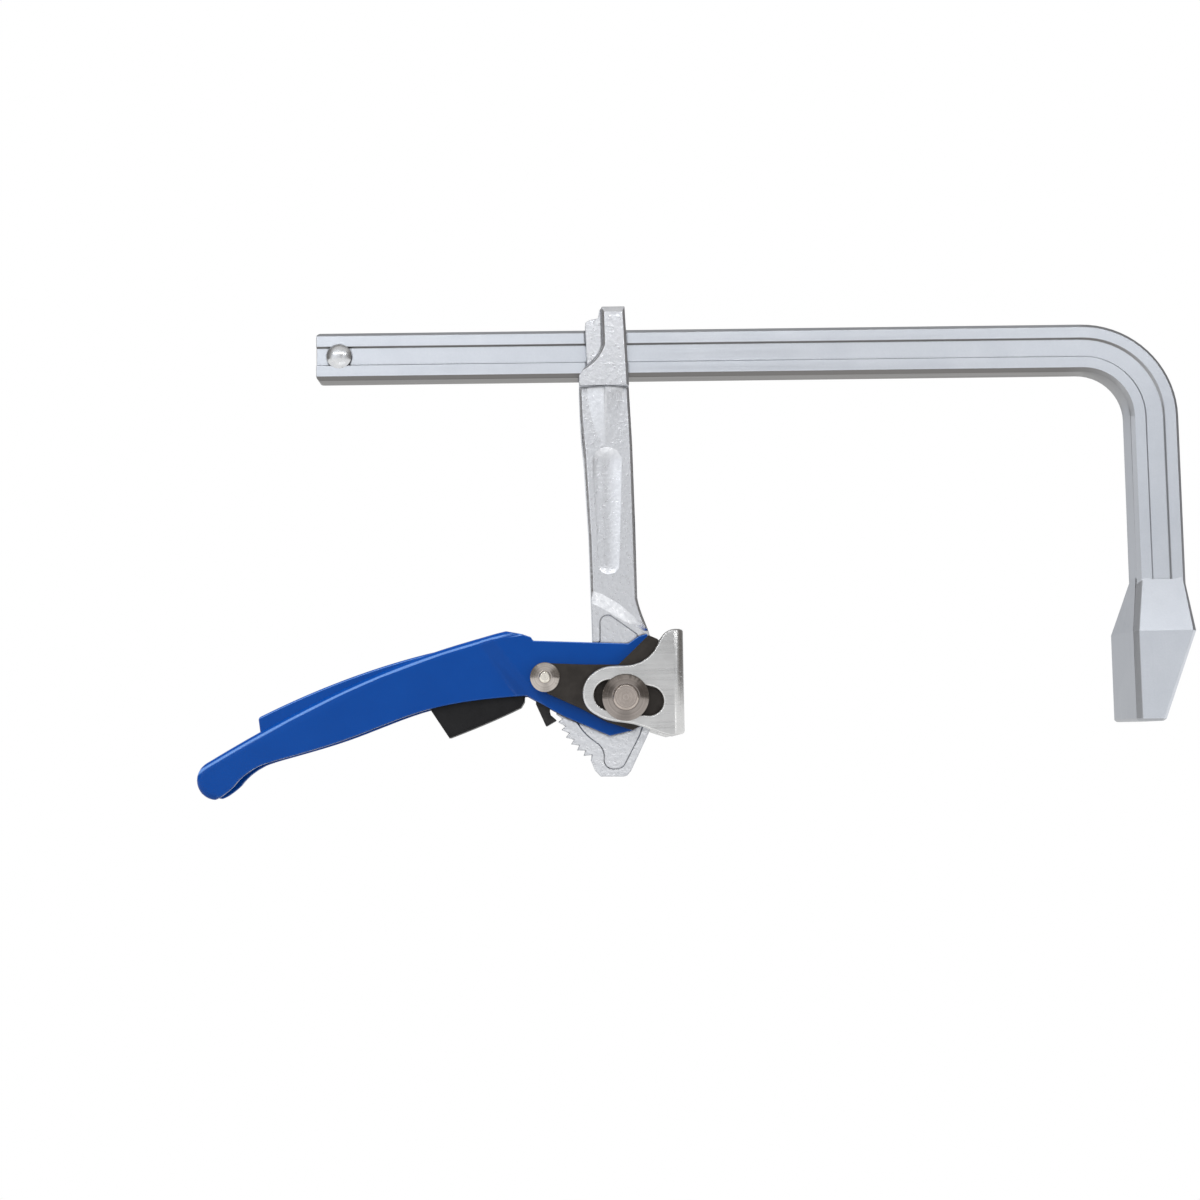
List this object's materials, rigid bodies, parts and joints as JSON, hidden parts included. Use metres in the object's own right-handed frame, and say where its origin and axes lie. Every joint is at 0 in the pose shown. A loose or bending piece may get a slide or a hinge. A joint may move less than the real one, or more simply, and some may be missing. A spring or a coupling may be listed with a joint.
{
  "type": "lever clamp",
  "caption": "Lever clamp: an L-shaped steel rail with a fixed jaw, and a sliding arm whose ratchet handle turns a cam against a pressure plate.",
  "frame": {"origin": "centre of the fixed jaw's flat face, which looks towards the pressure plate", "axes": "+X along the bar from the pressure plate to the fixed jaw, +Y across the bar to the back, +Z from the jaws up to the bar"},
  "size_m": [0.4461, 0.048, 0.2208],
  "materials": {
    "zinc_rail": "zinc plated, satin, fine drawing lines along the bar",
    "forged_zinc": "forged steel, zinc plated, satin with a fine grain",
    "zinc_plate": "zinc plated sheet, satin",
    "rivet_steel": "smooth plated rivet head",
    "turned_steel": "turned steel with fine rings",
    "dark_steel": "blackened steel, satin",
    "black_steel": "blackened steel, dull",
    "spring_steel": "bright steel",
    "blue_coat": "royal blue powder coat, glossy",
    "black_plastic": "moulded plastic, fine texture"
  },
  "bodies": {
    "rail_body": {"rail": "zinc_rail", "stop_rivet": "rivet_steel"},
    "arm": {"sliding_arm": "forged_zinc", "main_pin": "turned_steel", "main_pin_collar_front": "turned_steel", "main_pin_collar_rear": "turned_steel"},
    "lever": {"handle": "blue_coat", "cam_plate_front": "dark_steel", "cam_plate_rear": "dark_steel", "pawl_pin": "turned_steel", "pawl_pin_collar_front": "turned_steel", "pawl_pin_collar_rear": "turned_steel", "pawl_spacer_front": "spring_steel", "pawl_spacer_rear": "spring_steel", "pawl_spring": "spring_steel"},
    "pawl_lever": {"pawl": "black_steel", "trigger": "black_plastic"},
    "plate": {"pressure_plate": "zinc_plate"}
  },
  "joints": [
    {"name": "arm_slide", "type": "slide", "parent": "rail_body", "child": "arm", "axis": [1, 0, 0], "range_m": [-0.1064, 0.1945]},
    {"name": "handle_hinge", "type": "hinge", "parent": "arm", "child": "lever", "pos_m": [-0.2265, 0, -0.007], "axis": [0, 1, 0], "range_deg": [-42, 35]},
    {"name": "plate_slide", "type": "slide", "parent": "arm", "child": "plate", "axis": [0.9871, 0, -0.1599], "range_m": [-0.00668, 0.00557]},
    {"name": "pawl_hinge", "type": "hinge", "parent": "lever", "child": "pawl_lever", "pos_m": [-0.26184, 0, 0.00253], "axis": [0, 1, 0], "range_deg": [-7, 11], "stiffness_Nm_per_rad": 0.6}
  ],
  "couplings": [
    {"joint": "plate_slide", "follows": "handle_hinge", "m_per_rad": 0.009117}
  ]
}
